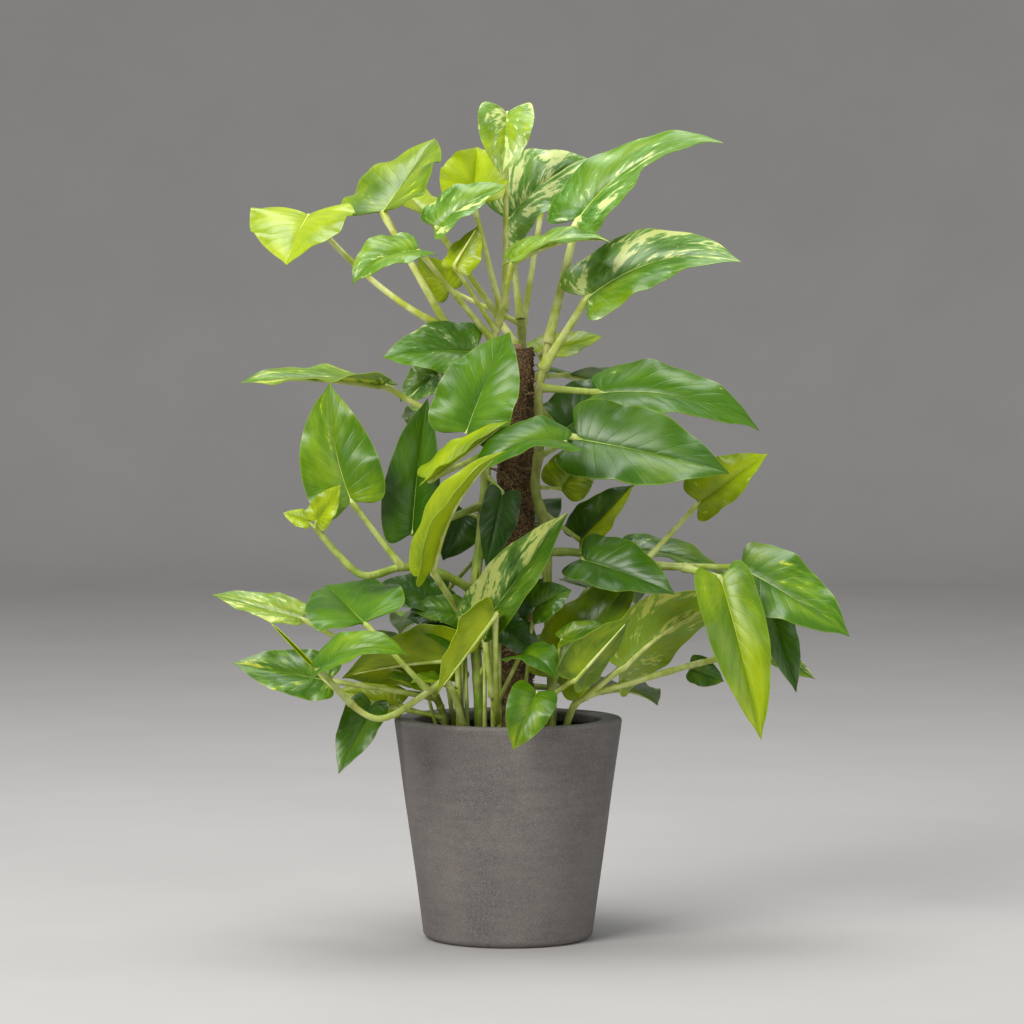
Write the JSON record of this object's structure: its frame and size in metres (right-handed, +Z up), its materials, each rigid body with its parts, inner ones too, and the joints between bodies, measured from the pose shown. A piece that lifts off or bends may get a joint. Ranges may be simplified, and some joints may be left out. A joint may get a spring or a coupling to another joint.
{
  "type": "potted pothos plant",
  "caption": "Pothos with variegated heart-shaped leaves climbing a coir pole, in a nursery pot inside a tapered grey planter",
  "frame": {"origin": "centre of the planter's underside", "axes": "+Z up, -Y the side the plant is seen from, +X to that viewer's right"},
  "size_m": [0.6061, 0.404, 0.8053],
  "materials": {
    "stone": "matte speckled grey",
    "black_plastic": "matte",
    "soil": "rough and crumbly",
    "wood": "sawn",
    "coir": "rough fibre",
    "stem": "waxy",
    "dark_leaf": "waxy",
    "green_leaf": "waxy",
    "lime_leaf": "waxy",
    "marbled_leaf": "waxy"
  },
  "bodies": {
    "root": {"planter": "stone", "grow_pot": "black_plastic", "potting_soil": "soil", "pole_core": "wood", "coir_sleeve": "coir", "left_climber": "stem", "right_climber": "stem", "back_climber": "stem", "left_runner": "stem", "right_runner": "stem", "front_shoot": "stem", "corner_shoot": "stem", "left_shoot": "stem", "back_shoot": "stem", "crown_leaf": "marbled_leaf", "upper_left_leaf": "lime_leaf", "cupped_leaf": "lime_leaf", "crown_front_leaf": "marbled_leaf", "crown_low_leaf": "green_leaf", "far_left_leaf": "lime_leaf", "crown_back_leaf": "marbled_leaf", "upper_right_leaf": "marbled_leaf", "right_marbled_leaf": "marbled_leaf", "crown_right_leaf": "marbled_leaf", "small_right_leaf": "lime_leaf", "front_leaf": "green_leaf", "behind_front_leaf": "green_leaf", "lime_blade_leaf": "lime_leaf", "folded_lime_leaf": "lime_leaf", "dark_upright_leaf": "dark_leaf", "left_upright_leaf": "green_leaf", "left_level_leaf": "green_leaf", "arching_leaf": "green_leaf", "big_dark_leaf": "dark_leaf", "right_arched_leaf": "green_leaf", "right_hidden_leaf": "dark_leaf", "pole_right_leaf": "lime_leaf", "two_tone_leaf": "green_leaf", "raised_lime_leaf": "lime_leaf", "left_shaded_leaf": "dark_leaf", "pole_front_leaf": "dark_leaf", "cream_leaf": "marbled_leaf", "olive_leaf": "lime_leaf", "broad_back_leaf": "green_leaf", "front_small_leaf": "green_leaf", "rim_leaf": "green_leaf", "front_right_leaf": "green_leaf", "broad_lime_leaf": "lime_leaf", "right_green_leaf": "dark_leaf", "right_back_leaf": "green_leaf", "far_right_leaf": "green_leaf", "hanging_leaf": "lime_leaf", "right_tail_leaf": "green_leaf", "left_broad_leaf": "green_leaf", "far_low_left_leaf": "marbled_leaf", "left_arched_leaf": "lime_leaf", "left_marbled_leaf": "marbled_leaf", "left_olive_leaf": "lime_leaf", "left_drooping_leaf": "dark_leaf"}
  },
  "joints": []
}
